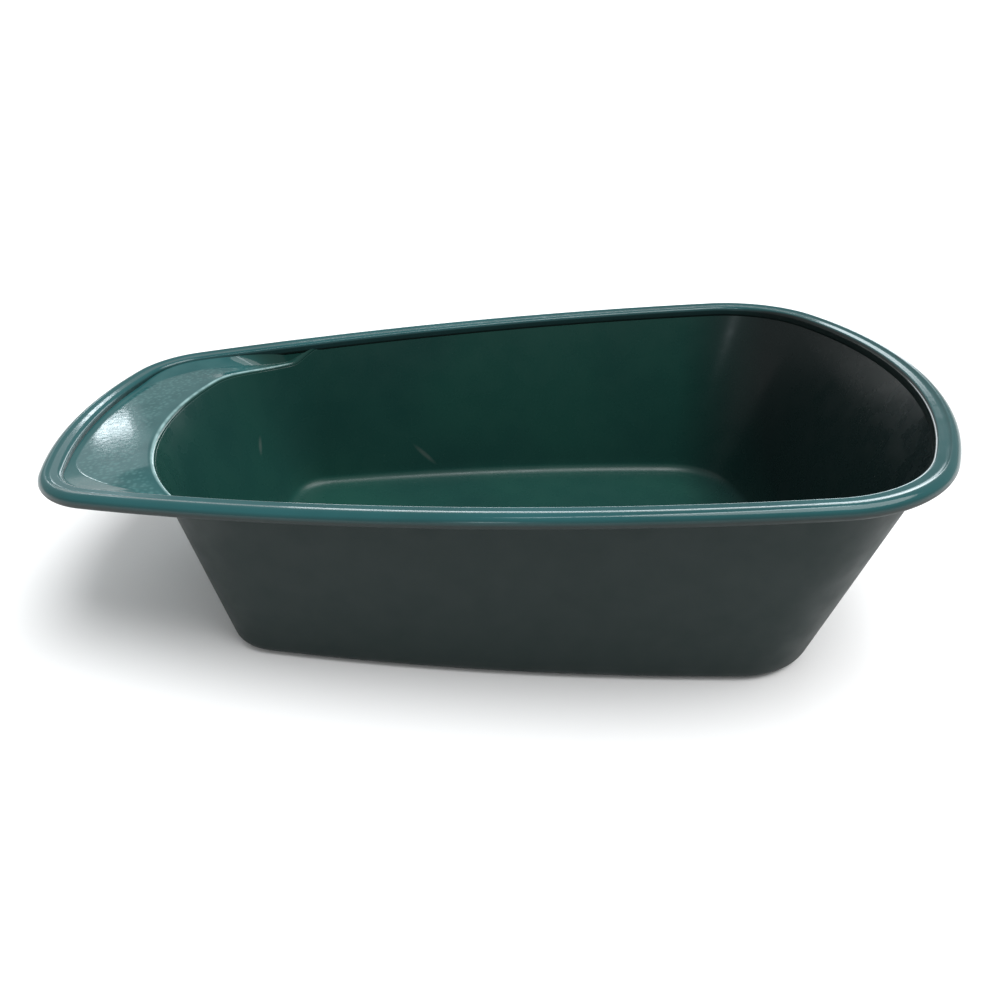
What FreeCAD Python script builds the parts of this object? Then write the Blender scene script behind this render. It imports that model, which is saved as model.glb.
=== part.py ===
# Panning tub: one moulding in green plastic, 800 mm long, with a tilted rolled rim
# and a shallow tray moulded into its narrow end. The moulding is drawn whole and
# parted along its natural lines: floor, wall, tray shelf and rolled rim.
#
# Frame: +X runs along the length to the wide end, +Z up, the origin on the ground
# under the middle of the length. All sizes are millimetres.
import FreeCAD, Part
import math
import os
import Sketcher

V = FreeCAD.Vector

SIZES = {
    # rolled rim, drawn flat in its own plane; the plane is tipped up to the wide end
    "rim_length": 801.3,
    "rim_half_width": 240.5,
    "rim_widest": 220.0,
    "rim_height": 184.5,
    "rim_tilt": 3.3,
    "rim_left_round": 394.0,
    "rim_left_corner": 76.0,
    "rim_side_round": 2076.0,
    "rim_right_corner": 124.0,
    "rim_right_round": 370.0,
    "bead_width": 20.0,
    "bead_depth": 11.5,
    "bead_foot": 11.0,
    "bead_inner_roll": 5.5,
    "bead_outer_roll": 6.5,
    "bead_curl": 50.0,
    "skin": 2.5,
    # opening of the basin; its round narrow end is the lip of the tray
    "lip_reach": 311.0,
    "lip_round": 249.0,
    "lip_corner": 130.0,
    # tray, let down below the rim plane
    "tray_depth": 9.0,
    "tray_lead": 14.0,
    "tray_corner": 45.0,
    "tray_gate": 150.0,
    "tray_gate_half": 136.0,
    "tray_slope": 4.6,
    "tray_mouth_corner": 56.0,
    "tray_mouth_half": 189.0,
    "tray_mouth_slope": 13.0,
    # flat bottom
    "floor_left": 247.0,
    "floor_right": 299.0,
    "floor_half_width": 193.6,
    "floor_widest": 195.0,
    "floor_left_round": 567.0,
    "floor_left_corner": 40.0,
    "floor_side_round": 2250.0,
    "floor_right_corner": 75.0,
    "floor_right_round": 610.0,
    "floor_radius": 14.0,
    "floor_rim": 16.5,
    "narrow_end": 190.0,
    "wide_end": 215.0,
}

doc = FreeCAD.newDocument("panning_tub")
sheet = doc.addObject("Spreadsheet::Sheet", "sizes")
for row, (alias, value) in enumerate(SIZES.items(), start=1):
    sheet.set(f"A{row}", alias)
    sheet.set(f"B{row}", str(value))
    sheet.setAlias(f"B{row}", alias)
doc.recompute()


def size(alias):
    """A driving size, read back from the sheet."""
    return float(sheet.get(alias))


def corner_centre(end, end_round, side, side_round, corner, way):
    """Centre of the corner arc inside both the end arc and the side arc.

    Two places fit; way is +1 for the one at the wide end, -1 for the narrow end."""
    reach_end = end_round - corner
    reach_side = side_round - corner
    gap = side.sub(end)
    span = gap.Length
    along = (reach_end ** 2 - reach_side ** 2 + span ** 2) / (2 * span)
    across = math.sqrt(reach_end ** 2 - along ** 2)
    ahead = gap.normalize()
    foot = end + ahead * along
    sideways = V(-ahead.y, ahead.x, 0) * across
    return max([foot + sideways, foot - sideways], key=lambda point: way * point.x)


def heading(start, finish):
    """Angle of the line from one point to another."""
    return math.atan2(finish.y - start.y, finish.x - start.x)


# An outline is five arcs mirrored in the X axis: wide end, corner, side, corner and
# narrow end. Each entry gives a size's name, or a sum of names, from the sheet.
RIM = {
    "right": "rim_length / 2",
    "left": "rim_length / 2",
    "half_width": "rim_half_width",
    "widest": "rim_widest",
    "right_round": "rim_right_round",
    "right_corner": "rim_right_corner",
    "side_round": "rim_side_round",
    "left_corner": "rim_left_corner",
    "left_round": "rim_left_round",
}
OPENING = dict(
    RIM,
    left="lip_reach + bead_width",
    left_round="lip_round + bead_width",
    left_corner="lip_corner + bead_width",
)
FLOOR = {
    "right": "floor_right",
    "left": "floor_left",
    "half_width": "floor_half_width",
    "widest": "floor_widest",
    "right_round": "floor_right_round",
    "right_corner": "floor_right_corner",
    "side_round": "floor_side_round",
    "left_corner": "floor_left_corner",
    "left_round": "floor_left_round",
}


def formula(words):
    """Turn a sum of size names into an expression that reads the sheet."""
    return " ".join(f"sizes.{w}" if w in SIZES else w for w in words.replace("(", "( ").split())


def amount(words):
    """Work out a sum of size names as a number."""
    total = 0.0
    sign = 1.0
    pieces = words.split()
    index = 0
    while index < len(pieces):
        piece = pieces[index]
        if piece in "+-":
            sign = 1.0 if piece == "+" else -1.0
            index += 1
            continue
        value = size(piece) if piece in SIZES else float(piece)
        if index + 2 < len(pieces) and pieces[index + 1] == "/":
            value /= float(pieces[index + 2])
            index += 2
        total += sign * value
        index += 1
    return total


def outline_sketch(name, outline, inset):
    """Closed outline of nine tangent arcs, moved inwards by the inset."""
    sketch = doc.addObject("Sketcher::SketchObject", name)
    number = {key: amount(words) for key, words in outline.items()}
    shift = amount(inset)
    right = V(number["right"] - number["right_round"], 0, 0)
    left = V(number["left_round"] - number["left"], 0, 0)
    side = V(number["widest"], number["half_width"] - number["side_round"], 0)
    args = side, number["side_round"]
    near = corner_centre(right, number["right_round"], *args, number["right_corner"], 1)
    far = corner_centre(left, number["left_round"], *args, number["left_corner"], -1)
    joints = [heading(right, near), heading(side, near), heading(side, far), heading(left, far)]
    turns = [0.0] + joints
    upper = [(right, "right_round"), (near, "right_corner"), (side, "side_round"),
             (far, "left_corner")]
    arcs = []
    for place, (centre, radius) in enumerate(upper):
        arcs.append((centre, radius, turns[place], turns[place + 1]))
    arcs.append((left, "left_round", joints[3], 2 * math.pi - joints[3]))
    for centre, radius, start, finish in reversed(arcs[:4]):
        mirrored = V(centre.x, -centre.y, 0)
        arcs.append((mirrored, radius, 2 * math.pi - finish, 2 * math.pi - start))
    for centre, radius, start, finish in arcs:
        circle = Part.Circle(centre, V(0, 0, 1), number[radius] - shift)
        sketch.addGeometry(Part.ArcOfCircle(circle, start, finish), False)
    bind_outline(sketch, outline, inset, number, shift, side)
    return sketch


def bind_outline(sketch, outline, inset, number, shift, side):
    """Tie the nine arcs to each other and to the sheet."""
    def add(*parts):
        return sketch.addConstraint(Sketcher.Constraint(*parts))

    def bind(index, words):
        sketch.setExpression(f"Constraints[{index}]", formula(words))

    for arc in range(8):
        add("Tangent", arc, 2, arc + 1, 1)
    add("Tangent", 8, 2, 0, 1)
    add("PointOnObject", 0, 1, -1)
    add("PointOnObject", 4, 3, -1)
    for first, second in ((0, 8), (1, 7), (2, 6), (3, 5)):
        add("Equal", first, second)
    add("Symmetric", 2, 3, 6, 3, -1)
    names = ["right_round", "right_corner", "side_round", "left_corner", "left_round"]
    for arc, name in enumerate(names):
        index = add("Radius", arc, number[name] - shift)
        bind(index, f"{outline[name]} - ( {inset} )")
    add("PointOnObject", 0, 3, -1)
    index = add("DistanceX", -1, 1, 0, 3, number["right"] - number["right_round"])
    bind(index, f"{outline['right']} - ( {outline['right_round']} )")
    index = add("DistanceX", 4, 3, -1, 1, number["left"] - number["left_round"])
    bind(index, f"{outline['left']} - ( {outline['left_round']} )")
    index = add("DistanceX", -1, 1, 2, 3, side.x)
    bind(index, outline["widest"])
    index = add("DistanceY", 2, 3, -1, 1, -side.y)
    bind(index, f"{outline['side_round']} - ( {outline['half_width']} )")



# The rim plane is tipped about the Y axis. Depths are measured down from it.
def lay_in_rim_plane(item, below):
    """Put an object at a depth below the tipped rim plane, bound to the sheet."""
    item.Placement = FreeCAD.Placement(V(), FreeCAD.Rotation(V(0, -1, 0), size("rim_tilt")))
    item.setExpression("Placement.Rotation.Angle", "sizes.rim_tilt")
    item.setExpression(
        "Placement.Base.x", f"( {formula(below)} ) * sin(sizes.rim_tilt)")
    item.setExpression(
        "Placement.Base.z", f"sizes.rim_height - ( {formula(below)} ) * cos(sizes.rim_tilt)")


def loft(name, *sketches):
    """Solid between outlines, with straight lines running up the wall."""
    item = doc.addObject("Part::Loft", name)
    item.Sections = list(sketches)
    item.Solid = True
    item.Ruled = True
    return item


def rise(name, sketch, height):
    """Solid pulled up from an outline, square to its own plane."""
    item = doc.addObject("Part::Extrusion", name)
    item.Base = sketch
    item.DirMode = "Normal"
    item.Solid = True
    item.setExpression("LengthFwd", formula(height))
    return item


def join(kind, name, first, second):
    """A boolean of two objects: Part::Cut, Part::Common or Part::Fuse."""
    item = doc.addObject(kind, name)
    item.Base = first
    item.Tool = second
    return item


def round_bottom(name, solid, radius):
    """Round every edge that lies in the solid's lowest plane."""
    doc.recompute()
    low = solid.Shape.BoundBox.ZMin + 0.01
    edges = enumerate(solid.Shape.Edges, start=1)
    item = doc.addObject("Part::Fillet", name)
    item.Base = solid
    item.Edges = [(n, radius, radius) for n, edge in edges if edge.BoundBox.ZMax < low]
    return item


# --- outside and inside of the basin ---------------------------------------------
# The inside is the outside moved in by the skin. Its walls stop at the foot of the
# rim, and the space above the opening is pulled straight up from there.
floor_outside = outline_sketch("floor_outside", FLOOR, "0")
floor_inside = outline_sketch("floor_inside", FLOOR, "skin")
floor_inside.setExpression("Placement.Base.z", "sizes.skin")
wall_top_outside = outline_sketch("wall_top_outside", OPENING, "bead_width - skin")
wall_top_inside = outline_sketch("wall_top_inside", OPENING, "bead_width")
lay_in_rim_plane(wall_top_outside, "bead_foot")
lay_in_rim_plane(wall_top_inside, "bead_foot")
outer_loft = loft("outer_loft", floor_outside, wall_top_outside)
inner_loft = loft("inner_loft", floor_inside, wall_top_inside)
outer_form = round_bottom("outer_form", outer_loft, size("floor_radius"))
inner_form = round_bottom("inner_form", inner_loft, size("floor_radius") - size("skin"))
above_opening = rise("above_opening", wall_top_inside, "bead_foot + skin")
basin_space = join("Part::Fuse", "basin_space", inner_form, above_opening)
basin_shell = join("Part::Cut", "basin_shell", outer_form, basin_space)


# --- tray --------------------------------------------------------------------------
def tray_sketch(name, below, end_round, corner, gate, slope):
    """Outline of the tray: one arc, two corners and two sides that open to the basin."""
    sketch = doc.addObject("Sketcher::SketchObject", name)
    middle = V(amount("rim_left_round") - amount("rim_length / 2"), 0, 0)
    big = amount(end_round)
    small = amount(corner)
    gate_x = -size("tray_gate")
    gate_y = amount(gate)
    tip = math.radians(amount(slope))
    along = V(math.cos(tip), math.sin(tip), 0)
    out = V(-along.y, along.x, 0)
    start = V(gate_x, gate_y, 0) - out * small - middle
    reach = start.dot(along)
    step = reach + math.sqrt(reach ** 2 - start.dot(start) + (big - small) ** 2)
    pivot = middle + start - along * step
    turn = heading(middle, pivot)
    touch = pivot + out * small
    axis = V(0, 0, 1)

    def arc(centre, radius, begin, finish):
        return Part.ArcOfCircle(Part.Circle(centre, axis, radius), begin, finish)

    def low(point):
        return V(point.x, -point.y, 0)

    gate_top = V(gate_x, gate_y, 0)
    shapes = [
        arc(middle, big, turn, 2 * math.pi - turn),
        arc(low(pivot), small, 2 * math.pi - turn, 1.5 * math.pi - tip),
        Part.LineSegment(low(touch), low(gate_top)),
        Part.LineSegment(low(gate_top), gate_top),
        Part.LineSegment(gate_top, touch),
        arc(pivot, small, math.pi / 2 + tip, turn),
    ]
    for shape in shapes:
        sketch.addGeometry(shape, False)

    def add(*parts):
        return sketch.addConstraint(Sketcher.Constraint(*parts))

    def bind(words, *parts):
        sketch.setExpression(f"Constraints[{add(*parts)}]", words)

    add("Tangent", 0, 2, 1, 1)
    add("Tangent", 1, 2, 2, 1)
    add("Coincident", 2, 2, 3, 1)
    add("Coincident", 3, 2, 4, 1)
    add("Tangent", 4, 2, 5, 1)
    add("Tangent", 5, 2, 0, 1)
    add("Equal", 1, 5)
    add("PointOnObject", 0, 3, -1)
    add("Symmetric", 3, 1, 3, 2, -1)
    bind(formula(end_round), "Radius", 0, big)
    bind(formula(corner), "Radius", 1, small)
    bind("sizes.rim_length / 2 - sizes.rim_left_round", "DistanceX", 0, 3, -1, 1, -middle.x)
    bind("sizes.tray_gate", "DistanceX", 3, 2, -1, 1, -gate_x)
    bind(formula(gate), "DistanceY", -1, 1, 3, 2, gate_y)
    bind(f"180 + {formula(slope)}", "Angle", 4, math.pi + tip)
    bind(f"-1 * {formula(slope)}", "Angle", 2, -tip)
    lay_in_rim_plane(sketch, below)
    return sketch


def tray_form(name, lower):
    """Space of the tray: its sloping sides, then straight up from the mouth."""
    bottom = "rim_left_round - bead_width - tray_lead", "tray_corner", "tray_gate_half"
    top = "rim_left_round - bead_width", "tray_mouth_corner", "tray_mouth_half"
    bed = tray_sketch(f"{name}_bed", f"tray_depth + {lower}", *bottom, "tray_slope")
    mouth = tray_sketch(f"{name}_mouth", f"bead_inner_roll + {lower}", *top, "tray_mouth_slope")
    sides = loft(f"{name}_sides", bed, mouth)
    above = rise(f"{name}_above", mouth, "bead_foot")
    return join("Part::Fuse", name, sides, above)


rim_path = outline_sketch("rim_path", RIM, "bead_width")
lay_in_rim_plane(rim_path, "0")
shelf_path = outline_sketch("shelf_path", RIM, "bead_width")
lay_in_rim_plane(shelf_path, "tray_depth + skin")
shelf_blank = rise("shelf_blank", shelf_path, "tray_depth + skin - bead_inner_roll")
tray_space = tray_form("tray_space", "0")
tray_under = tray_form("tray_under", "skin")
shelf_plate = join("Part::Cut", "shelf_plate", shelf_blank, basin_space)
shelf_top = join("Part::Cut", "shelf_top", shelf_plate, tray_space)
tray_shelf = join("Part::Common", "tray_shelf", shelf_top, tray_under)


# --- rolled rim ---------------------------------------------------------------------
def bead_section(name):
    """Section of the rim: an inner leg, a flat top and an outer roll open beneath."""
    sketch = doc.addObject("Sketcher::SketchObject", name)
    skin = size("skin")
    foot = size("bead_foot")
    inner = size("bead_inner_roll")
    outer = size("bead_outer_roll")
    over = size("bead_width") - outer
    curl = -math.radians(size("bead_curl"))
    axis = V(0, 0, 1)
    hub = V(inner, -inner, 0)
    roll = V(over, -outer, 0)
    ray = V(math.cos(curl), math.sin(curl), 0)

    def arc(centre, radius, begin, finish):
        return Part.ArcOfCircle(Part.Circle(centre, axis, radius), begin, finish)

    shapes = [
        Part.LineSegment(V(0, -foot, 0), V(0, -inner, 0)),
        arc(hub, inner, math.pi / 2, math.pi),
        Part.LineSegment(V(inner, 0, 0), V(over, 0, 0)),
        arc(roll, outer, curl, math.pi / 2),
        Part.LineSegment(roll + ray * outer, roll + ray * (outer - skin)),
        arc(roll, outer - skin, curl, math.pi / 2),
        Part.LineSegment(V(over, -skin, 0), V(inner, -skin, 0)),
        arc(hub, inner - skin, math.pi / 2, math.pi),
        Part.LineSegment(V(skin, -inner, 0), V(skin, -foot, 0)),
        Part.LineSegment(V(skin, -foot, 0), V(0, -foot, 0)),
    ]
    for shape in shapes:
        sketch.addGeometry(shape, False)

    def add(*parts):
        return sketch.addConstraint(Sketcher.Constraint(*parts))

    def bind(words, *parts):
        sketch.setExpression(f"Constraints[{add(*parts)}]", words)

    smooth = [(0, 2, 1, 2), (1, 1, 2, 1), (2, 2, 3, 2), (5, 2, 6, 1), (6, 2, 7, 1), (7, 2, 8, 1)]
    for ends in smooth:
        add("Tangent", *ends)
    meeting = [(3, 1, 4, 1), (4, 2, 5, 1), (8, 2, 9, 1), (9, 2, 0, 1), (1, 3, 7, 3), (3, 3, 5, 3)]
    for ends in meeting:
        add("Coincident", *ends)
    add("Vertical", 0)
    add("Vertical", 8)
    add("Horizontal", 2)
    add("Horizontal", 9)
    add("PointOnObject", 0, 1, -2)
    add("PointOnObject", 2, 1, -1)
    add("PointOnObject", 3, 3, 4)
    bind("sizes.bead_inner_roll", "Radius", 1, inner)
    bind("sizes.bead_outer_roll", "Radius", 3, outer)
    bind("sizes.bead_inner_roll - sizes.skin", "Radius", 7, inner - skin)
    bind("sizes.bead_outer_roll - sizes.skin", "Radius", 5, outer - skin)
    bind("sizes.bead_width - sizes.bead_outer_roll", "DistanceX", -1, 1, 3, 3, over)
    bind("sizes.bead_foot", "DistanceY", 0, 1, -1, 1, foot)
    drop = outer * (1 - math.sin(curl))
    bind("sizes.bead_outer_roll * ( 1 + sin(sizes.bead_curl * 1 deg) )",
         "DistanceY", 3, 1, -1, 1, drop)
    return sketch


# The section stands upright across the rim's path at the wide end.
section = bead_section("section")
tilt = FreeCAD.Placement(V(), FreeCAD.Rotation(V(0, -1, 0), size("rim_tilt")))
stand = FreeCAD.Placement(V(), FreeCAD.Rotation(V(1, 0, 0), 90))
section.Placement = tilt * stand
reach = "( sizes.rim_length / 2 - sizes.bead_width )"
section.setExpression("Placement.Base.x", f"{reach} * cos(sizes.rim_tilt)")
section.setExpression("Placement.Base.z", f"sizes.rim_height + {reach} * sin(sizes.rim_tilt)")
rolled_rim = doc.addObject("Part::Sweep", "rolled_rim")
rolled_rim.Sections = [section]
rolled_rim.Spine = (rim_path, [f"Edge{n}" for n in range(1, 10)])
rolled_rim.Solid = True
rolled_rim.Frenet = False
rolled_rim.Transition = "Right corner"

# --- parting the basin into its flat floor and its wall ------------------------------
# The cut stands upright just inside the bend, where the floor is still flat.
floor_path = outline_sketch("floor_path", FLOOR, "floor_rim")
floor_prism = rise("floor_prism", floor_path, "2 * skin")
basin_floor = join("Part::Common", "basin_floor", basin_shell, floor_prism)
wall_band = join("Part::Cut", "wall_band", basin_shell, floor_prism)
whole_wall = join("Part::Cut", "whole_wall", wall_band, tray_shelf)


def block(name, start_x, length, start_y):
    """Upright block of space that holds one stretch of the wall."""
    item = doc.addObject("Part::Box", name)
    item.setExpression("Length", formula(length))
    item.setExpression("Width", "sizes.rim_length")
    item.setExpression("Height", "2 * sizes.rim_height")
    item.setExpression("Placement.Base.x", formula(start_x))
    item.setExpression("Placement.Base.y", formula(start_y))
    item.setExpression("Placement.Base.z", "0 - sizes.skin")
    return item


# The wall parts into its two curved ends and its two long sides.
half_length = "0 - rim_length / 2"
side_run = "narrow_end + wide_end"
narrow_block = block("narrow_block", "0 - rim_length", "rim_length - narrow_end", half_length)
wide_block = block("wide_block", "wide_end", "rim_length", half_length)
near_block = block("near_block", "0 - narrow_end", side_run, "0 - rim_length")
far_block = block("far_block", "0 - narrow_end", side_run, "0")
narrow_end_wall = join("Part::Common", "narrow_end_wall", whole_wall, narrow_block)
wide_end_wall = join("Part::Common", "wide_end_wall", whole_wall, wide_block)
right_side_wall = join("Part::Common", "right_side_wall", whole_wall, near_block)
left_side_wall = join("Part::Common", "left_side_wall", whole_wall, far_block)

NODES = {
    "basin_floor": basin_floor,
    "narrow_end_wall": narrow_end_wall,
    "wide_end_wall": wide_end_wall,
    "left_side_wall": left_side_wall,
    "right_side_wall": right_side_wall,
    "tray_shelf": tray_shelf,
    "rolled_rim": rolled_rim,
}
for label, item in NODES.items():
    item.Label = label

doc.recompute()
for item in doc.Objects:
    bad = "Invalid" in item.State or "Error" in item.State
    if bad:
        raise RuntimeError(f"{item.Name} did not recompute: {item.State}")
for label, item in NODES.items():
    shape = item.Shape
    if shape.isNull() or not shape.isValid() or len(shape.Solids) != 1:
        raise RuntimeError(f"{label} is not one valid solid")
    print(label, round(shape.Volume / 1000, 1), "cm3", shape.BoundBox)

os.makedirs("parts", exist_ok=True)
for label, item in NODES.items():
    item.Shape.exportStep(f"parts/{label}.step")
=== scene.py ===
# %% [markdown]
# # A green plastic panning tub
# The tub is one injection moulding: an egg-shaped basin with sloping walls, a hooked rim
# that rises to the wide end, and a shallow crescent tray at the narrow end. It could be
# drawn as one mesh, but each part follows a rule of its own, so it is made here in three
# pieces that meet along its own creases: basin, tray and rim. The first cell loads the
# packed model, whose frame every piece keeps to.

# %% Load the frame
import bpy
import bmesh
import math
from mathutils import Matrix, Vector


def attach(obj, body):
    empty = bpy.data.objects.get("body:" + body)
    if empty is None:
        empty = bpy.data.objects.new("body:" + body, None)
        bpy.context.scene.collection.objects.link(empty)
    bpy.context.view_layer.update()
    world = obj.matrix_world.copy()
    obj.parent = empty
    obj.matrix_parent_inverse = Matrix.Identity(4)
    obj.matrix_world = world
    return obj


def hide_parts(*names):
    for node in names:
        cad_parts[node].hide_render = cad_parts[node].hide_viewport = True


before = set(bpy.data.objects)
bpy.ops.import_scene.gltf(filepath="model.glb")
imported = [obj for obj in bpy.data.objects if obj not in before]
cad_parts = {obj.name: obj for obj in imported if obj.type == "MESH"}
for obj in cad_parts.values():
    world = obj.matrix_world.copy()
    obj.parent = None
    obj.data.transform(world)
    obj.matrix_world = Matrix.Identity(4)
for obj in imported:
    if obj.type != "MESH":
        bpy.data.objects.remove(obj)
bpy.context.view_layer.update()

# %% [markdown]
# A tub mould is cut from a few tangent arcs: a wide end, two corners, two long sides and
# a narrow end. Only one side is described, because the other is its mirror image. The
# corner arc has to touch the arcs on both sides of it, and where two circles of the
# reduced radii cross is the one place for its centre.

# %% Arcs that touch
MM = 0.001
HAIR = 1e-9


def tangent_corner(end_x, end_r, side, side_r, corner_r, way):
    """Centre of the corner arc inside the end arc and the side arc."""
    reach_end = end_r - corner_r
    reach_side = side_r - corner_r
    gap = Vector((side[0] - end_x, side[1]))
    span = gap.length
    along = (reach_end ** 2 - reach_side ** 2 + span ** 2) / (2 * span)
    across = math.sqrt(reach_end ** 2 - along ** 2)
    ahead = gap / span
    foot = Vector((end_x, 0)) + ahead * along
    sideways = Vector((-ahead.y, ahead.x)) * across
    return max((foot + sideways, foot - sideways), key=lambda p: way * p.x)


def make_outline(right, left, half_width, widest, right_r, right_corner, side_r,
                 left_corner, left_r):
    """The five arcs of one side, each with its centre, radius and last facing angle."""
    side = Vector((widest, half_width - side_r))
    near = tangent_corner(right - right_r, right_r, side, side_r, right_corner, 1)
    far = tangent_corner(left_r - left, left_r, side, side_r, left_corner, -1)
    wide_end = Vector((right - right_r, 0))
    narrow_end = Vector((left_r - left, 0))

    def turn(start, finish):
        return math.atan2(finish.y - start.y, finish.x - start.x)

    return [
        (wide_end, right_r, turn(wide_end, near)),
        (near, right_corner, turn(side, near)),
        (side, side_r, turn(side, far)),
        (far, left_corner, turn(narrow_end, far)),
        (narrow_end, left_r, math.pi),
    ]


# %% [markdown]
# Three outlines make the tub, in millimetres: the rim's outer edge, the basin's opening
# and the floor. An arc is easiest to follow by the direction it faces. Two outlines that
# face the same way at the same moment join up into a smooth wall, so a point on an outline
# is asked for by its facing angle.

# %% Outlines of rim, opening and floor
BEAD = 20.0
RIM = make_outline(right=400.65, left=400.65, half_width=240.5, widest=220.0, right_r=370.0,
                   right_corner=124.0, side_r=2076.0, left_corner=76.0, left_r=394.0)
OPENING = make_outline(right=380.65, left=311.0, half_width=220.5, widest=220.0,
                       right_r=350.0, right_corner=104.0, side_r=2056.0,
                       left_corner=130.0, left_r=249.0)
FLOOR = make_outline(right=299.0, left=247.0, half_width=193.6, widest=195.0, right_r=610.0,
                     right_corner=75.0, side_r=2250.0, left_corner=40.0, left_r=567.0)


def outline_point(outline, facing, inset=0.0):
    """Point of an outline that faces a given way, and moved inwards by the inset."""
    mirrored = facing > math.pi
    angle = 2 * math.pi - facing if mirrored else facing
    for centre, radius, last in outline:
        if angle <= last + HAIR:
            break
    x = centre.x + (radius - inset) * math.cos(angle)
    y = centre.y + (radius - inset) * math.sin(angle)
    return Vector((x, -y if mirrored else y))


for title, outline in (("rim", RIM), ("opening", OPENING), ("floor", FLOOR)):
    print(title, "joints at", [round(math.degrees(arc[2]), 1) for arc in outline])

# %% [markdown]
# The rim lies in one plane that is tipped up to the wide end. Everything near the rim is
# drawn flat, with a depth below that plane, and a helper turns it into a place in the tub.
# The facing angles are spread so that no step along an outline is longer than five
# millimetres, which leaves no flats to be seen on the curves.

# %% Rim plane and facing angles
TIP = math.radians(3.3)
RIM_HEIGHT = 184.5
LONGEST_STEP = 5.0


def in_rim_plane(flat, depth):
    """Place of a flat point at a depth below the tipped rim plane, in metres."""
    x = flat.x * math.cos(TIP) + depth * math.sin(TIP)
    z = RIM_HEIGHT + flat.x * math.sin(TIP) - depth * math.cos(TIP)
    return Vector((x, flat.y, z)) * MM


def facing_steps(outlines):
    """Facing angles all round, with every joint of the outlines among them."""
    joints = sorted({0.0} | {round(arc[2], 6) for o in outlines for arc in o})
    half = []
    for low, high in zip(joints, joints[1:]):
        middle = (low + high) / 2
        radii = [next(arc[1] for arc in o if middle <= arc[2] + HAIR) for o in outlines]
        count = max(1, math.ceil(max(radii) * (high - low) / LONGEST_STEP))
        half += [low + (high - low) * i / count for i in range(count)]
    return half + [math.pi] + [2 * math.pi - a for a in reversed(half[1:])]


FACINGS = facing_steps([OPENING, FLOOR])
print("columns round the basin:", len(FACINGS))

# %% [markdown]
# Four helpers serve the pieces below. The first turns rows of points into a mesh with
# smooth shading, because moulded plastic has no flats except where it is meant to. The
# others blend softly between two values, keep a number on each point for a material to
# read, and turn an object with modifiers into a plain mesh.

# %% Mesh helpers


def grid_mesh(name, rows, closed_round=True, poles=()):
    """Mesh object from rows of points; each pole closes a row onto one point."""
    mesh = bpy.data.meshes.new(name)
    work = bmesh.new()
    grid = [[work.verts.new(p) for p in row] for row in rows]
    wide = len(rows[0])
    for upper, lower in zip(grid, grid[1:]):
        for i in range(wide if closed_round else wide - 1):
            j = (i + 1) % wide
            work.faces.new((upper[i], upper[j], lower[j], lower[i]))
    for row_number, centre in poles:
        tip = work.verts.new(centre)
        row = grid[row_number]
        for i in range(wide):
            work.faces.new((row[i], row[(i + 1) % wide], tip))
    bmesh.ops.recalc_face_normals(work, faces=work.faces)
    for face in work.faces:
        face.smooth = True
    work.to_mesh(mesh)
    work.free()
    item = bpy.data.objects.new(name, mesh)
    bpy.context.collection.objects.link(item)
    return item


def ease(value, start, finish):
    """Smooth step from 0 at the start to 1 at the finish."""
    t = min(1.0, max(0.0, (value - start) / (finish - start)))
    return t * t * (3 - 2 * t)


def store(item, name, values):
    """Keep one number for each point of a mesh under a name."""
    layer = item.data.attributes.new(name, "FLOAT", "POINT")
    layer.data.foreach_set("value", values)


def apply_modifiers(item):
    """Turn an object with modifiers into a plain mesh of its own."""
    ready = item.evaluated_get(bpy.context.evaluated_depsgraph_get())
    mesh = bpy.data.meshes.new_from_object(ready)
    plain = bpy.data.objects.new(item.name, mesh)
    bpy.data.objects.remove(item)
    bpy.context.collection.objects.link(plain)
    return plain


print("soft step a quarter of the way:", ease(0.25, 0.0, 1.0))

# %% [markdown]
# The basin's wall runs in straight lines from the floor's outline to the opening. Most of
# it ends behind the inner face of the rim, a little above the rim's foot, so that no edge
# shows. At the narrow end it stops lower, under the tray's rounded lip, which droops into
# the basin at the two horns of the crescent. The floor's outline isn't a smaller copy of
# the opening's, so the wall can't be one outline scaled. Its top and its foot are both
# looked up by facing angle instead.

# %% Lines of the wall
SKIN = 2.5
FOOT = 11.0
BURIED = 2.5
TRAY_DEPTH = 9.0
LIP_ROUND = 3.5
LIP_DROOP = 11.0
DROOP_ACROSS = (95.0, 168.0)
HORN = OPENING[2][2]
HORN_FADE = 0.28


def lip_depth(facing):
    """How far below the rim plane the tray's lip lies at a facing angle."""
    y = abs(outline_point(OPENING, facing).y)
    droop = TRAY_DEPTH + LIP_DROOP * ease(y, *DROOP_ACROSS)
    from_tip = min(facing, 2 * math.pi - facing) - HORN
    level = FOOT - BURIED - LIP_ROUND
    return level + (droop - level) * ease(from_tip, 0.0, HORN_FADE)


def wall_line(facing, outside):
    """Foot and top of the wall's straight line at a facing angle."""
    foot = outline_point(FLOOR, facing, 0.0 if outside else SKIN)
    top = outline_point(OPENING, facing, -SKIN if outside else 0.0)
    low = Vector((foot.x, foot.y, 0.0 if outside else SKIN)) * MM
    return low, in_rim_plane(top, FOOT)


def wall_point(facing, depth, outside=False):
    """Point of the wall at a depth below the rim plane."""
    low, high = wall_line(facing, outside)
    fall = (high - low).normalized()
    per_depth = Vector((math.sin(TIP), 0, -math.cos(TIP))).dot(-fall)
    return high - fall * ((depth - FOOT) * MM / per_depth)


def wall_top(facing):
    """Depth at which the wall stops: behind the rim's face or under the lip."""
    if HORN < facing < 2 * math.pi - HORN:
        return lip_depth(facing) + LIP_ROUND
    return FOOT - BURIED


print("lip depth at the middle and at a horn, mm:",
      [round(lip_depth(a), 1) for a in (math.pi, HORN + HORN_FADE)])

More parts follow.
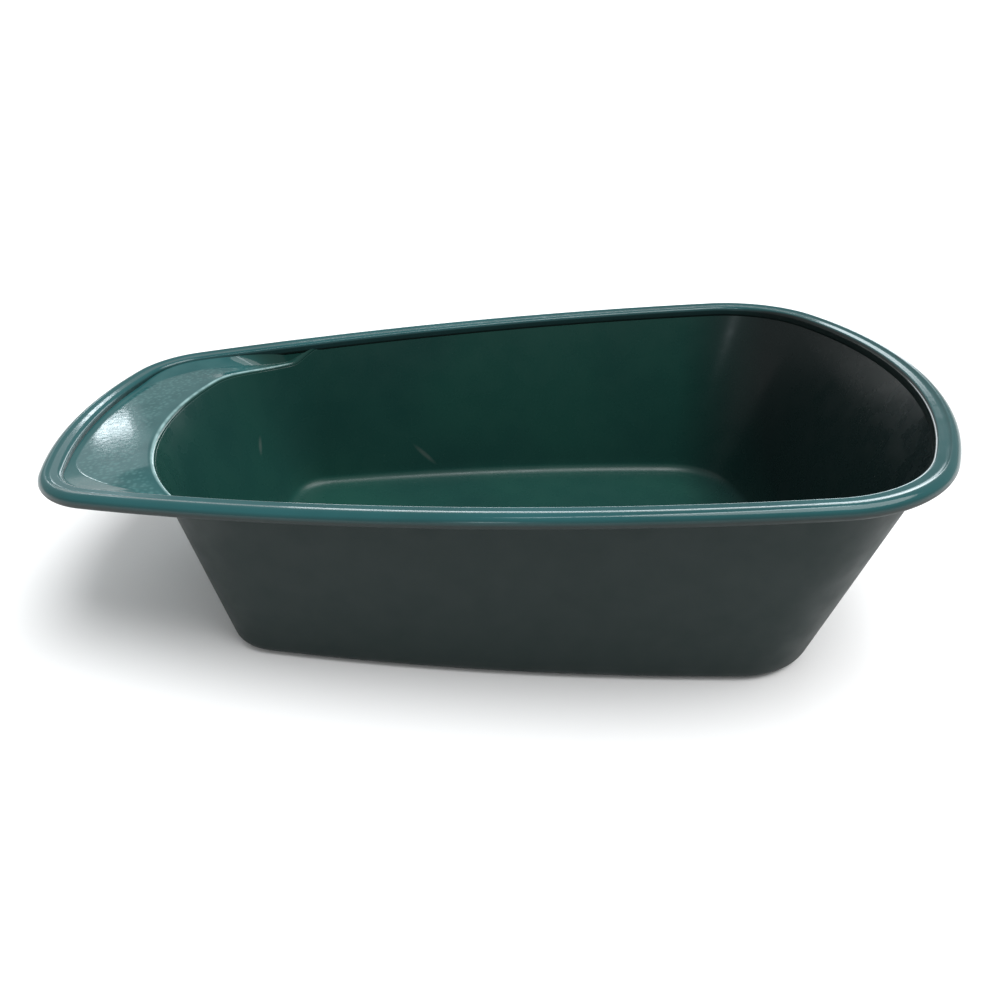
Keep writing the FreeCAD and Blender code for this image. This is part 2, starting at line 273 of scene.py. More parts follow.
# %% [markdown]
# The wall bends into the floor on a 14 mm radius. The bend is a cubic curve whose pull is
# set so that it lies almost exactly on an arc, whatever the wall's lean at that place.
# The rows lie close together at the top, where the edge would otherwise look soft.

# %% Columns of the wall
BEND = 14.0
BEND_STEPS = 8
TOP_SPOTS = [0.0, 0.006, 0.015, 0.03, 0.05]
WALL_STEPS = 22


def bend_points(start, rise, finish, out, pull):
    """Cubic curve from the wall's line round to the floor."""
    points = []
    for i in range(1, BEND_STEPS + 1):
        t = i / BEND_STEPS
        a = start * (1 - t) ** 3
        b = (start - rise * pull) * (3 * t * (1 - t) ** 2)
        c = (finish + out * pull) * (3 * t * t * (1 - t))
        points.append(a + b + c + finish * t ** 3)
    return points


def wall_column(facing, outside):
    """Points from the top of the wall, round the bend and in to the flat floor."""
    low, high = wall_line(facing, outside)
    top = wall_point(facing, wall_top(facing), outside)
    out = Vector((math.cos(facing), math.sin(facing), 0))
    rise = (high - low).normalized()
    bend = math.acos(max(-1.0, min(1.0, rise.dot(out))))
    radius = (BEND if outside else BEND - SKIN) * MM
    setback = radius * math.tan(bend / 2)
    pull = radius * 4 / 3 * math.tan(bend / 4)
    start = low + rise * setback
    finish = low - out * setback
    last = TOP_SPOTS[-1]
    even = [last + (1 - last) * i / WALL_STEPS for i in range(1, WALL_STEPS + 1)]
    points = [top.lerp(start, t) for t in TOP_SPOTS + even]
    return points + bend_points(start, rise, finish, out, pull)


print("points down one column:", len(wall_column(0.0, False)))

# %% [markdown]
# The basin is drawn twice, once for the inside and once 2.5 mm further out. The two skins
# join over the top edge, and each floor is carried in to one point, so the mesh is a
# closed shell of real thickness. A Solidify modifier could make the second skin too, but
# drawing both keeps the floor's thickness and the two bend radii as plain numbers.

# %% The basin
FLOOR_SHARES = (0.985, 0.95, 0.9, 0.82, 0.72, 0.6, 0.48, 0.36, 0.24, 0.12)
FLOOR_MIDDLE = 0.03


def floor_rows(edge, height):
    """Rows that carry the flat floor in to its middle."""
    middle = Vector((FLOOR_MIDDLE, 0.0, height * MM))
    return [[middle.lerp(p, share) for p in edge] for share in FLOOR_SHARES], middle


inside = list(zip(*[wall_column(a, False) for a in FACINGS]))
outside = list(zip(*[wall_column(a, True) for a in FACINGS]))
in_floor, in_middle = floor_rows(inside[-1], SKIN)
out_floor, out_middle = floor_rows(outside[-1], 0.0)
basin_rows = in_floor[::-1] + inside[::-1] + outside + out_floor
basin = grid_mesh("basin", basin_rows, poles=((0, in_middle), (-1, out_middle)))
print("basin faces", len(basin.data.polygons))

# %% [markdown]
# The tray is a crescent between the basin's lip and the inner face of the rim. Its two
# edges are different lengths, so both are walked in the same number of even steps and
# joined step by step. Steps by facing angle would bunch up at the corners here.

# %% Steps along the tray's edges
COLUMNS = 300
TUCK = 1.2
FINE_STEPS = 60


def arc_walk(outline, inset, start, finish):
    """Facing angles at even steps along an outline between two facing angles."""
    joints = {start, finish}
    for arc in outline:
        joints |= {j for j in (arc[2], 2 * math.pi - arc[2]) if start < j < finish}
    joints = sorted(joints)
    fine = []
    for low, high in zip(joints, joints[1:]):
        fine += [low + (high - low) * i / FINE_STEPS for i in range(FINE_STEPS)]
    fine.append(finish)
    spots = [outline_point(outline, a, inset) for a in fine]
    lengths = [0.0]
    for a, b in zip(spots, spots[1:]):
        lengths.append(lengths[-1] + (b - a).length)
    steps = []
    k = 0
    for i in range(COLUMNS + 1):
        want = lengths[-1] * i / COLUMNS
        while k < len(lengths) - 2 and lengths[k + 1] < want:
            k += 1
        part = (want - lengths[k]) / max(HAIR, lengths[k + 1] - lengths[k])
        steps.append(fine[k] + (fine[k + 1] - fine[k]) * min(1.0, part))
    return steps


lip_facings = arc_walk(OPENING, 0.0, HORN, 2 * math.pi - HORN)
rim_facings = arc_walk(RIM, BEAD - TUCK, HORN, 2 * math.pi - HORN)
print("tray columns:", len(lip_facings))

# %% [markdown]
# One column of the tray rises from the wall over a rounded lip, crosses the bed, and
# climbs a sloping bank to the rim. The bank is narrow at the end of the tub and widens
# towards the corners. The bed is level in the wide middle of the crescent and follows the
# drooping lip where the crescent narrows to its horns.

# %% Columns of the tray
LIP_ROWS = 8
BED_ROWS = 22
BANK_SPOTS = (0.04, 0.12, 0.25, 0.4, 0.55, 0.7, 0.85, 1.0)
BANK_ACROSS = (80.0, 150.0)
BANK_WIDTH = (6.0, 20.0)
BANK_RISE = (1.5, 3.5)
BANK_SHARE = 0.55
LIP_SHARE = 0.3
LEVEL_WIDTH = (12.0, 70.0)
THIN = 0.01


def flat_place(place):
    """Flat coordinates, in millimetres in the rim plane, of a place in the tub."""
    up = place.z / MM - RIM_HEIGHT
    return Vector((place.x / MM * math.cos(TIP) + up * math.sin(TIP), place.y / MM))


def tray_column(lip_facing, rim_facing):
    """Points from the wall, over the rounded lip, across the bed and up the bank."""
    lip = lip_depth(lip_facing)
    wall = wall_point(lip_facing, lip + LIP_ROUND)
    shoulder = wall_point(lip_facing, lip)
    brink = flat_place(shoulder)
    edge = outline_point(RIM, rim_facing, BEAD - TUCK)
    width = (edge - brink).length
    inner = brink.lerp(edge, min(LIP_SHARE, LIP_ROUND / max(width, THIN)))
    span = (edge - inner).length
    beside = ease(abs(edge.y), *BANK_ACROSS)
    bank = min(BANK_SHARE * span, BANK_WIDTH[0] + BANK_WIDTH[1] * beside)
    bank_top = TRAY_DEPTH - BANK_RISE[0] - BANK_RISE[1] * beside
    follow = 1.0 - ease(span, *LEVEL_WIDTH)
    crease = edge.lerp(inner, bank / max(span, THIN))
    low = TRAY_DEPTH + (lip - TRAY_DEPTH) * follow
    first = in_rim_plane(inner, lip)
    points = []
    for i in range(LIP_ROWS):
        t = i / (LIP_ROWS - 1)
        points.append(wall * (1 - t) ** 2 + shoulder * (2 * t * (1 - t)) + first * t * t)
    for i in range(1, BED_ROWS + 1):
        t = i / BED_ROWS
        depth = lip + (low - lip) * ease(t, 0.0, 1.0)
        points.append(in_rim_plane(inner.lerp(crease, t), depth))
    for t in BANK_SPOTS:
        points.append(in_rim_plane(crease.lerp(edge, t), low + (bank_top - low) * t))
    return points


print("points across the tray:", len(tray_column(math.pi, math.pi)))

# %% [markdown]
# The tray's finish changes across it: pebbled on the bed, smooth on the bank, and pale
# along the lip, where a highlight is painted. Three numbers on each point carry this,
# because the borders follow the crescent, which no plain pattern in space would do.

# %% Marks for the tray's finish
BED_WIDTH = (16.0, 40.0)
LIP_HIGHLIGHT_FROM_TIP = (0.26, 0.34)
BED_END = LIP_ROWS + BED_ROWS


def tray_marks(lip_facing, rim_facing):
    """How pebbled, how pale and how much painted lip highlight each point of a column has."""
    brink = outline_point(OPENING, lip_facing)
    width = (outline_point(RIM, rim_facing, BEAD) - brink).length
    from_tip = min(lip_facing, 2 * math.pi - lip_facing) - HORN
    bed = ease(width, *BED_WIDTH)
    # The lip's painted highlight fades in away from the horns.
    lip = ease(from_tip, *LIP_HIGHLIGHT_FROM_TIP)
    rows = range(BED_END + len(BANK_SPOTS))
    grains = [bed * ease(i, LIP_ROWS + 1, LIP_ROWS + 4) * (1.0 - ease(i, BED_END - 3, BED_END))
              for i in rows]
    pales = [bed * ease(i, 2, 6) for i in rows]
    lips = [lip * ease(i, 2, 4) * (1.0 - ease(i, 5, 7)) for i in rows]
    return grains, pales, lips


marks = [tray_marks(a, b) for a, b in zip(lip_facings, rim_facings)]
print("most pebbled point:", max(max(mark[0]) for mark in marks))

# %% [markdown]
# The tray's sheet is thickened downwards by a Solidify modifier, which also closes it
# round its edge. The sheet has to face up first, because the thickness goes behind the
# faces. The marks ride along with the points.

# %% The tray
tray_rows = list(zip(*map(tray_column, lip_facings, rim_facings)))
tray_sheet = grid_mesh("tray_sheet", tray_rows, closed_round=False)
for number, title in enumerate(("grain", "pale", "lip")):
    rows_of_marks = zip(*[mark[number] for mark in marks])
    store(tray_sheet, title, [value for row in rows_of_marks for value in row])
if sum(face.normal.z for face in tray_sheet.data.polygons) < 0:
    tray_sheet.data.flip_normals()
thick = tray_sheet.modifiers.new("plate", "SOLIDIFY")
thick.thickness = SKIN * MM
thick.offset = -1.0
thick.use_even_offset = False
tray = apply_modifiers(tray_sheet)
tray.name = "tray"
print("tray faces", len(tray.data.polygons))

# %% [markdown]
# The rim is one section carried round one path. The section is a hook: a small bright
# inner edge, a flat top, and an outer roll that is open beneath, as a mould has to leave
# it. It is drawn in millimetres, across from the inner face and up from the rim plane.
# The points run over the top skin to the outer roll, and back along the underside.

# %% Section of the rim
INNER_ROLL = (4.0, -5.2)
INNER_RADIUS = 4.0
INNER_HOLLOW = 1.7
OUTER_ROLL = (13.5, -6.6)
OUTER_RADIUS = 6.5
OUTER_HOLLOW = 4.0
RIM_FOOT = -FOOT - 0.5


def arc_points(centre, radius, first, last, count):
    """Points on an arc of the section, angles in degrees."""
    points = []
    for i in range(count + 1):
        angle = math.radians(first + (last - first) * i / count)
        points.append((centre[0] + radius * math.cos(angle),
                       centre[1] + radius * math.sin(angle)))
    return points


def hook_section():
    """Section of the rim: across from its inner face, and up."""
    skin = [(0.0, RIM_FOOT), (0.0, -8.5), (0.0, -6.6)]
    skin += arc_points(INNER_ROLL, INNER_RADIUS, 180, 85, 12)
    skin += [(6.0, -1.15), (8.0, -1.12), (10.0, -1.1)]
    skin += arc_points(OUTER_ROLL, OUTER_RADIUS, 105, -50, 22)
    skin += arc_points(OUTER_ROLL, OUTER_HOLLOW, -50, 100, 14)
    skin += [(9.5, -3.4), (6.0, -3.4)]
    skin += arc_points(INNER_ROLL, INNER_HOLLOW, 100, 180, 6)
    return skin + [(2.3, -8.5), (2.3, RIM_FOOT)]


print("section of the rim:", len(hook_section()), "points")

# %% [markdown]
# Geometry Nodes' Curve to Mesh carries a section round a path, so the path and the
# section are two splines of one curve object. Curve to Mesh lays the section's X outwards
# and its Y downwards here, so the heights are turned over as the section goes in.

# %% Curves for the rim


def add_loop(curve, points):
    """Add a closed straight-sided spline to a curve."""
    spline = curve.splines.new("POLY")
    spline.points.add(len(points) - 1)
    for spot, place in zip(spline.points, points):
        spot.co = (*place, 1.0)
    spline.use_cyclic_u = True


rim_curve = bpy.data.curves.new("rim_lines", "CURVE")
rim_curve.dimensions = "3D"
rim_curve.twist_mode = "Z_UP"
path = [outline_point(RIM, a, BEAD) * MM for a in facing_steps([RIM])]
add_loop(rim_curve, [(p.x, p.y, 0.0) for p in path])
add_loop(rim_curve, [(u * MM, -v * MM, 0.0) for u, v in hook_section()])
rim_lines = bpy.data.objects.new("rim_lines", rim_curve)
bpy.context.collection.objects.link(rim_lines)
print("rim path:", len(path), "points")

# %% [markdown]
# The tree parts the two splines by their number, sweeps the second round the first, then
# tips and lifts the result into the rim plane. The tip and the height are named inputs,
# so that the same tree would serve a tub with a steeper or a taller rim. Realize Instances
# and Set Material come last, because the export drops instances.

# %% Node tree that sweeps the rim
RIM_INPUTS = (("Tip", -TIP), ("Height", RIM_HEIGHT * MM))


def sweep_tree(finish):
    """Tree that carries the second spline round the first and tips the result."""
    tree = bpy.data.node_groups.new("Rim sweep", "GeometryNodeTree")
    face = tree.interface
    face.new_socket("Geometry", in_out="INPUT", socket_type="NodeSocketGeometry")
    for name, _ in RIM_INPUTS:
        face.new_socket(name, in_out="INPUT", socket_type="NodeSocketFloat")
    face.new_socket("Geometry", in_out="OUTPUT", socket_type="NodeSocketGeometry")
    node = tree.nodes.new
    link = tree.links.new
    start = node("NodeGroupInput")
    part = node("GeometryNodeSeparateGeometry")
    part.domain = "CURVE"
    index = node("GeometryNodeInputIndex")
    link(start.outputs["Geometry"], part.inputs["Geometry"])
    link(index.outputs[0], part.inputs["Selection"])
    sweep = node("GeometryNodeCurveToMesh")
    link(part.outputs["Inverted"], sweep.inputs["Curve"])
    link(part.outputs["Selection"], sweep.inputs["Profile Curve"])
    turn = node("ShaderNodeCombineXYZ")
    lift = node("ShaderNodeCombineXYZ")
    link(start.outputs["Tip"], turn.inputs["Y"])
    link(start.outputs["Height"], lift.inputs["Z"])
    place = node("GeometryNodeTransform")
    link(sweep.outputs["Mesh"], place.inputs["Geometry"])
    link(turn.outputs[0], place.inputs["Rotation"])
    link(lift.outputs[0], place.inputs["Translation"])
    smooth = node("GeometryNodeSetShadeSmooth")
    link(place.outputs[0], smooth.inputs[0])
    real = node("GeometryNodeRealizeInstances")
    link(smooth.outputs[0], real.inputs[0])
    paint = node("GeometryNodeSetMaterial")
    paint.inputs["Material"].default_value = finish
    link(real.outputs[0], paint.inputs["Geometry"])
    end = node("NodeGroupOutput")
    link(paint.outputs[0], end.inputs[0])
    return tree


print("named inputs of the sweep:", [name for name, _ in RIM_INPUTS])

# %% [markdown]
# All three pieces are the same green polypropylene, but each was finished by its part of
# the mould: the basin is polished inside and satin outside, the tray's bed is pebbled, and
# the rim is polished. Each material is built from nodes on Object coordinates, so one unit
# is one metre and the grain comes out at its real size. A small class adds nodes and joins
# them, so that each material below reads as a list of what the plastic looks like.

# %% Material helpers


def new_material(name, colour, roughness, specular):
    """Material and its Principled shader, with its plain values set."""
    material = bpy.data.materials.new(name)
    material.use_nodes = True
    shader = material.node_tree.nodes["Principled BSDF"]
    shader.inputs["Base Color"].default_value = (*colour, 1.0)
    shader.inputs["Roughness"].default_value = roughness
    shader.inputs["Specular IOR Level"].default_value = specular
    return material, shader


class Wiring:
    """Adds nodes to a material and joins them."""

    def __init__(self, material):
        self.nodes = material.node_tree.nodes
        self.links = material.node_tree.links
        self.place = self.nodes.new("ShaderNodeTexCoord").outputs["Object"]

    def feed(self, socket, value):
        """Link an output to a socket, or set the socket to a plain value."""
        if isinstance(value, bpy.types.NodeSocket):
            self.links.new(value, socket)
        else:
            socket.default_value = value

    def add(self, kind, settings=(), **inputs):
        """One node with its settings and its inputs."""
        made = self.nodes.new(kind)
        for name, value in dict(settings).items():
            setattr(made, name, value)
        for name, value in inputs.items():
            self.feed(made.inputs[name.replace("_", " ")], value)
        return made

    def calc(self, operation, *values):
        """Result of a Math node."""
        made = self.add("ShaderNodeMath", {"operation": operation})
        for socket, value in zip(made.inputs, values):
            self.feed(socket, value)
        return made.outputs[0]

    def noise(self, scale, detail):
        """Value of a 3-D noise at a scale per metre."""
        return self.add("ShaderNodeTexNoise", Vector=self.place, Scale=scale,
                        Detail=detail).outputs["Fac"]

    def mark(self, name):
        """Number kept on the mesh's points under a name."""
        return self.add("ShaderNodeAttribute", {"attribute_name": name}).outputs["Fac"]

    def blend(self, amount, first, second):
        """Colour between two colours."""
        made = self.add("ShaderNodeMix", {"data_type": "RGBA"})
        self.feed(made.inputs[0], amount)
        for socket, value in ((made.inputs[6], first), (made.inputs[7], second)):
            self.feed(socket, (*value, 1.0) if isinstance(value, tuple) else value)
        return made.outputs[2]

    def span(self, value, low, high, to_low=0.0, to_high=1.0):
        """Stretch a value from one range to another, held at its ends."""
        made = self.nodes.new("ShaderNodeMapRange")
        for socket, number in zip(made.inputs, (value, low, high, to_low, to_high)):
            self.feed(socket, number)
        return made.outputs[0]

    def bump(self, strength, distance, height, under=None):
        """Small relief, laid over another one where that is given."""
        made = self.add("ShaderNodeBump", Strength=strength, Distance=distance, Height=height)
        if under is not None:
            self.feed(made.inputs["Normal"], under)
        return made.outputs[0]

    def streak(self, start, finish, width):
        """Soft streak between two places in metres: 1 on it, 0 away from it."""
        middle = (Vector(start) + Vector(finish)) / 2
        along = Vector(finish) - Vector(start)
        turn = along.to_track_quat("X", "Z").to_matrix().transposed().to_euler("XYZ")
        shift = self.add("ShaderNodeVectorMath", {"operation": "SUBTRACT"})
        self.feed(shift.inputs[0], self.place)
        self.feed(shift.inputs[1], middle)
        spin = self.add("ShaderNodeVectorRotate", {"rotation_type": "EULER_XYZ"},
                        Vector=shift.outputs[0], Rotation=tuple(turn))
        squeeze = self.add("ShaderNodeVectorMath", {"operation": "MULTIPLY"})
        self.feed(squeeze.inputs[0], spin.outputs[0])
        self.feed(squeeze.inputs[1], (2 / along.length, 1 / width, 1 / width))
        size = self.add("ShaderNodeVectorMath", {"operation": "LENGTH"})
        self.feed(size.inputs[0], squeeze.outputs[0])
        return self.span(size.outputs["Value"], 0.4, 1.1, 1.0, 0.0)


print("ways to add nodes:", [name for name in vars(Wiring) if not name.startswith("_")])

# %% [markdown]
# The basin's plastic is a deep bottle green, a little uneven in tone.
# Inside it is polished and picks up light in soft patches; outside it is satin, and its
# colour is darkened to a near-black as painted shade. Inside and outside are told apart by a
# number on the mesh's points, because a pattern in space can't see which side of a thin
# wall it is on. Inside the wide end the green fades to a much darker painted shade. Two
# short pale scuffs sit low on the inner wall.

# %% Basin material
DEEP_GREEN = (0.012, 0.058, 0.046)
SHADE_GREEN = (0.009, 0.042, 0.037)
# Painted shade: the inside of the wide end fades to this dark colour.
WIDE_END_PAINTED_SHADE = (0.006, 0.013, 0.013)
# Painted shade: the whole outside, and the rim's downward faces, take this near-black.
OUTSIDE_PAINTED_SHADE = (0.005, 0.014, 0.013)
WIDE_END_SHADE_FADE = (0.22, 0.31)
SCUFF_PALE = (0.05, 0.085, 0.075)
SCUFF_WIDTH = 0.003
END_SCUFF = ((-0.260, 0.115, 0.085), (-0.259, 0.103, 0.066))
SIDE_SCUFF = ((-0.097, 0.178, 0.043), (-0.071, 0.177, 0.017))

basin_plastic, shader = new_material("basin_plastic", DEEP_GREEN, 0.3, 0.25)
wiring = Wiring(basin_plastic)
mottle = wiring.span(wiring.noise(5.0, 3.0), 0.35, 0.65)
even_green = wiring.blend(mottle, SHADE_GREEN, DEEP_GREEN)
along = wiring.add("ShaderNodeSeparateXYZ", Vector=wiring.place).outputs["X"]
# Painted shade: the green fades to near-black inside the wide end.
inner_green = wiring.blend(wiring.span(along, *WIDE_END_SHADE_FADE), even_green, WIDE_END_PAINTED_SHADE)
side = wiring.mark("outside")
# Painted shade: the outside is darkened to near-black.
body_green = wiring.blend(side, inner_green, OUTSIDE_PAINTED_SHADE)
scuffs = wiring.calc("MAXIMUM", wiring.streak(*END_SCUFF, SCUFF_WIDTH),
                     wiring.streak(*SIDE_SCUFF, SCUFF_WIDTH))
wiring.feed(shader.inputs["Base Color"], wiring.blend(scuffs, body_green, SCUFF_PALE))
polish = wiring.span(wiring.noise(40.0, 4.0), 0.3, 0.7, 0.22, 0.34)
wiring.feed(shader.inputs["Roughness"], wiring.calc("MULTIPLY_ADD", side, 0.22, polish))
grain = wiring.bump(0.06, 0.0004, wiring.noise(900.0, 2.0))
waves = wiring.bump(0.06, 0.004, wiring.noise(9.0, 2.0), grain)
wiring.feed(shader.inputs["Normal"], waves)
print("basin material nodes", len(wiring.nodes))

# %% [markdown]
# The basin's rows run from the middle of the inner floor to the middle of the outer one,
# and its two poles come last, so the inside and the outside are two runs of points.

# %% Inside and outside of the basin
inner_points = (len(in_floor) + len(inside)) * len(FACINGS)
outer_points = (len(outside) + len(out_floor)) * len(FACINGS)
store(basin, "outside", [0.0] * inner_points + [1.0] * outer_points + [0.0, 1.0])
basin.data.materials.append(basin_plastic)
print("points inside and outside:", inner_points, outer_points)

# %% [markdown]
# The tray's bed is pebbled with shallow dimples a few millimetres across. Pale flecks are
# painted on them as painted highlights of the pebbles, over a cloudy ground. A smooth Voronoi
# pattern gives both, so that the flecks sit on the dimples. They fade out on the smooth bank
# by the rim and at the lip, which has a painted highlight of its own. The plastic is glossy
# here, so that a lamp shows in it as one clear light.

# %% Tray material
BED_GREEN = (0.016, 0.078, 0.082)
BED_PALE = (0.046, 0.135, 0.136)
# Painted highlight: the lip's rounded edge is painted this pale colour.
LIP_HIGHLIGHT_PALE = (0.24, 0.38, 0.38)
CLOUDINESS = 0.35

tray_plastic, shader = new_material("tray_plastic", BED_GREEN, 0.2, 0.22)
wiring = Wiring(tray_plastic)
grain = wiring.mark("grain")
dimple = wiring.add("ShaderNodeTexVoronoi", {"feature": "SMOOTH_F1"}, Vector=wiring.place,
                    Scale=240.0, Smoothness=0.6).outputs["Distance"]
# Painted highlights: pale flecks on each dimple stand in for light on the pebbles.
pebble_glints = wiring.calc("MULTIPLY", wiring.span(dimple, 0.5, 0.1), grain)
cloud = wiring.span(wiring.noise(30.0, 4.0), 0.35, 0.65)
bed_green = wiring.blend(wiring.calc("MULTIPLY_ADD", cloud, CLOUDINESS, pebble_glints),
                         BED_GREEN, BED_PALE)
mottle = wiring.span(wiring.noise(5.0, 3.0), 0.35, 0.65)
moulded = wiring.blend(wiring.mark("pale"), wiring.blend(mottle, SHADE_GREEN, DEEP_GREEN),
                       bed_green)
# Painted highlight along the lip, broken up by noise.
lip_highlight = wiring.calc("MULTIPLY", wiring.mark("lip"),
                   wiring.span(wiring.noise(90.0, 3.0), 0.3, 0.6, 0.45, 1.0))
wiring.feed(shader.inputs["Base Color"], wiring.blend(lip_highlight, moulded, LIP_HIGHLIGHT_PALE))
hammer = wiring.bump(0.045, 0.0005, wiring.calc("MULTIPLY", dimple, grain))
wiring.feed(shader.inputs["Normal"], wiring.bump(0.03, 0.0003, wiring.noise(1100.0, 2.0), hammer))
polish = wiring.span(wiring.noise(160.0, 3.0), 0.3, 0.7, 0.06, 0.11)
wiring.feed(shader.inputs["Roughness"], polish)
tray.data.materials.append(tray_plastic)
print("tray points", len(tray.data.vertices), "marks", [a.name for a in tray.data.attributes])

# %% [markdown]
# The rim is the brightest green of the tub, and polished. Its underside and the lower
# half of its roll are painted as dark as the outer wall, as painted shade. A border drawn in
# space would have to follow the rim all round, so the way a face points tells the two apart
# instead. At the wide end its inward face carries the same painted shade as the wall below
# it, and there is one small nick.

# %% Rim material
RIM_GREEN = (0.009, 0.068, 0.070)
RIM_DEEP = (0.008, 0.060, 0.063)
RIM_BRIGHT = (0.013, 0.082, 0.088)
NICK_DARK = (0.006, 0.014, 0.014)
NICK = ((0.391, 0.041, 0.207), (0.394, 0.027, 0.207))
NICK_WIDTH = 0.003

rim_plastic, shader = new_material("rim_plastic", RIM_GREEN, 0.16, 0.35)
wiring = Wiring(rim_plastic)
tone = wiring.span(wiring.noise(7.0, 3.0), 0.35, 0.65)
faces = wiring.add("ShaderNodeSeparateXYZ",
                   Vector=wiring.add("ShaderNodeTexCoord").outputs["Normal"])
upward = wiring.span(faces.outputs["Z"], -0.2, 0.65)
# Painted shade: faces that point down take the outside's near-black.
sides = wiring.blend(upward, OUTSIDE_PAINTED_SHADE, wiring.blend(tone, RIM_DEEP, RIM_BRIGHT))
along = wiring.add("ShaderNodeSeparateXYZ", Vector=wiring.place).outputs["X"]
# Painted shade: the inward face at the wide end darkens like the wall below it.
inward_shade = wiring.calc("MULTIPLY", wiring.span(along, *WIDE_END_SHADE_FADE),
                     wiring.span(faces.outputs["X"], -0.25, -0.6))
shaded = wiring.blend(inward_shade, sides, WIDE_END_PAINTED_SHADE)
nick = wiring.streak(*NICK, NICK_WIDTH)
wiring.feed(shader.inputs["Base Color"], wiring.blend(nick, shaded, NICK_DARK))
polish = wiring.span(wiring.noise(120.0, 4.0), 0.3, 0.7, 0.08, 0.15)
beneath = wiring.span(upward, 0.0, 0.8, 0.4, 0.0)
wiring.feed(shader.inputs["Roughness"], wiring.calc("ADD", polish, beneath))
wiring.feed(shader.inputs["Normal"], wiring.bump(0.03, 0.0003, wiring.noise(500.0, 2.0)))
print("rim material nodes", len(wiring.nodes))

# %% [markdown]
# The tree goes on the curve as a modifier. Its inputs are set by their identifiers, which
# stay the same if a name is changed, before the object is first evaluated. The result is
# then kept as a plain mesh, and its box is printed.

# %% The rim, swept
sweep = rim_lines.modifiers.new("sweep", "NODES")
sweep.node_group = sweep_tree(rim_plastic)
sockets = {item.name: item.identifier for item in sweep.node_group.interface.items_tree
           if item.in_out == "INPUT"}
for name, value in RIM_INPUTS:
    sweep[sockets[name]] = value
rim = apply_modifiers(rim_lines)
rim.name = "rim"
low = [min(v.co[i] for v in rim.data.vertices) for i in range(3)]
high = [max(v.co[i] for v in rim.data.vertices) for i in range(3)]
print("rim box", [round(v, 4) for v in low], [round(v, 4) for v in high])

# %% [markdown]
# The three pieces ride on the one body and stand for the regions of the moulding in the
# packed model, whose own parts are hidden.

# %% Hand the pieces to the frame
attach(basin, "root")
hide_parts("basin_floor", "narrow_end_wall", "wide_end_wall", "left_side_wall",
            "right_side_wall")
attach(tray, "root")
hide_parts("tray_shelf")
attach(rim, "root")
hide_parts("rolled_rim")
print("triangles:", [sum(len(f.vertices) - 2 for f in p.data.polygons) for p in (basin, tray, rim)])

# %% [markdown]
# The tub stands on a plain pale floor. The floor is very wide and turns up into a slope
# far behind the tub, as a paper sweep does in a studio, so that no horizon line shows.

# %% Floor
REACH = 200
SLOPE_FROM = 60
SLOPE_TO = 80
SLOPE_HEIGHT = 20
floor_mesh = bpy.data.meshes.new("floor")
corners = [(-REACH, -REACH, 0), (REACH, -REACH, 0), (REACH, SLOPE_FROM, 0),
           (-REACH, SLOPE_FROM, 0), (REACH, SLOPE_TO, SLOPE_HEIGHT),
           (-REACH, SLOPE_TO, SLOPE_HEIGHT)]
floor_mesh.from_pydata(corners, [], [(0, 1, 2, 3), (3, 2, 4, 5)])
studio_floor = bpy.data.objects.new("floor", floor_mesh)
bpy.context.collection.objects.link(studio_floor)
floor_paint, shader = new_material("floor_paint", (0.92, 0.92, 0.92), 0.9, 0.1)
studio_floor.data.materials.append(floor_paint)
print("floor corners:", len(corners))

# %% [markdown]
# The world is white to the eye but lights the tub at about half that strength. Otherwise
# its reflection would grey the dark plastic all over. The Standard view keeps the pale
# floor white, where a film-like view would turn it grey.

# %% World
WORLD_LIGHT = 0.55
WORLD_SEEN = 1.0
scene = bpy.context.scene
scene.view_settings.view_transform = "Standard"
world = bpy.data.worlds.new("studio")
scene.world = world
world.use_nodes = True
sky = world.node_tree.nodes["Background"]
sky.inputs["Color"].default_value = (1.0, 1.0, 1.0, 1.0)
eye = world.node_tree.nodes.new("ShaderNodeLightPath").outputs["Is Camera Ray"]
strength = world.node_tree.nodes.new("ShaderNodeMapRange")
world.node_tree.links.new(eye, strength.inputs["Value"])
strength.inputs["To Min"].default_value = WORLD_LIGHT
strength.inputs["To Max"].default_value = WORLD_SEEN
world.node_tree.links.new(strength.outputs[0], sky.inputs["Strength"])
print("world light", WORLD_LIGHT)

# %% [markdown]
# Dark glossy plastic is drawn by what it mirrors, so each lamp is there for one reflection.
# A broad soft key comes down from the right. A long low lamp behind and one overhead light
# the flat top of the rim. Two lamps behind the corners light the narrow end and the rear
# right corner. A small window makes the one clear light in the tray's bed, and a strip at
# the front left shows as a soft upright band beside the rear right corner.

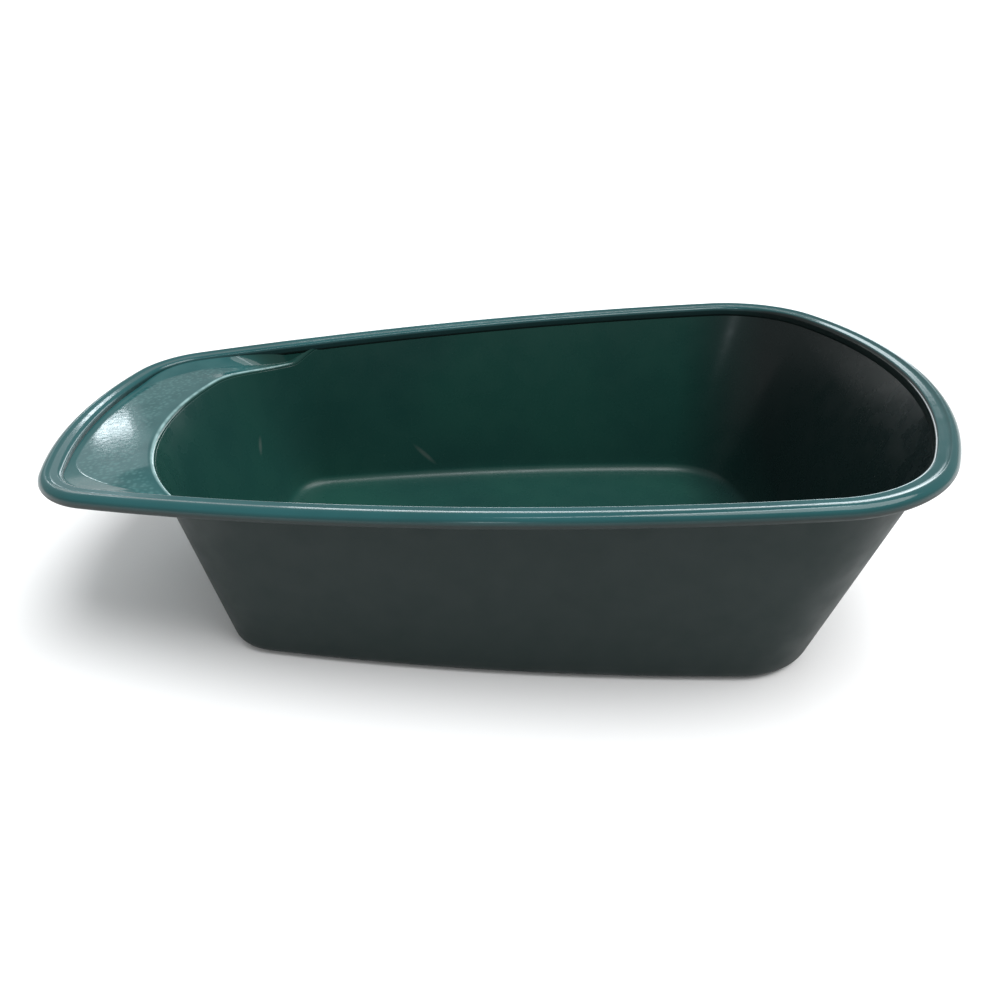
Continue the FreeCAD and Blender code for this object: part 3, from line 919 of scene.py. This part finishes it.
# %% Lamps
COOL = (0.86, 0.95, 1.0)
KEY_ENERGY = 2.7
KEY_ANGLE = 50
KEY_WAY = (-0.4, 0.1, -0.9)
LAMPS = (
    ("back_lamp", (0.4, 2.4, 0.66), (0.1, 0.0, 0.2), (2.6, 0.42), 5.0),
    ("top_lamp", (0.3, -0.2, 2.2), (0.1, 0.0, 0.1), (2.0, 0.16), 10.0),
    ("left_lamp", (-1.75, 2.3, 1.25), (-0.35, 0.0, 0.17), (0.5, 0.4), 0.6),
    ("right_lamp", (1.35, 2.4, 1.1), (0.35, 0.1, 0.2), (0.5, 0.45), 4.0),
    ("window_lamp", (-1.10, 1.35, 0.71), (-0.36, 0.0, 0.155), (0.10, 0.035), 13.0),
    ("strip_lamp", (-0.27, -1.26, 0.36), (0.26, 0.2, 0.17), (0.08, 0.24), 9.0),
)


def soft_lamp(name, place, aim, size, glow):
    """Oblong soft lamp that faces a point; the glow is its brightness per area."""
    lamp = bpy.data.lights.new(name, "AREA")
    lamp.shape = "RECTANGLE"
    lamp.size, lamp.size_y = size
    lamp.energy = glow * math.pi * size[0] * size[1]
    lamp.color = COOL
    item = bpy.data.objects.new(name, lamp)
    item.location = place
    item.rotation_euler = (Vector(aim) - Vector(place)).to_track_quat("-Z", "Y").to_euler()
    bpy.context.collection.objects.link(item)


key = bpy.data.lights.new("key", "SUN")
key.energy = KEY_ENERGY
key.angle = math.radians(KEY_ANGLE)
key_item = bpy.data.objects.new("key", key)
key_item.rotation_euler = Vector(KEY_WAY).to_track_quat("-Z", "Y").to_euler()
bpy.context.collection.objects.link(key_item)
for lamp_line in LAMPS:
    soft_lamp(*lamp_line)
print("lamps:", [lamp_line[0] for lamp_line in LAMPS])

# %% [markdown]
# The camera looks square on to the long side from about thirty degrees above level. It
# stands close, with a wide lens, which is why the near rim looks larger than the far one.

# %% Camera
RISE = math.radians(29.8)
DISTANCE = 0.8775
AIM = Vector((0.0067, 0.0, 0.0681))
camera = bpy.data.cameras.new("camera")
camera.sensor_width = 36.0
camera.lens = 31.32
camera_item = bpy.data.objects.new("camera", camera)
back = Vector((0.0, -math.cos(RISE), math.sin(RISE)))
camera_item.location = AIM + back * DISTANCE
camera_item.rotation_euler = (-back).to_track_quat("-Z", "Y").to_euler()
bpy.context.collection.objects.link(camera_item)
bpy.context.scene.camera = camera_item
print("camera at", [round(v, 3) for v in camera_item.location])

# %% [markdown]
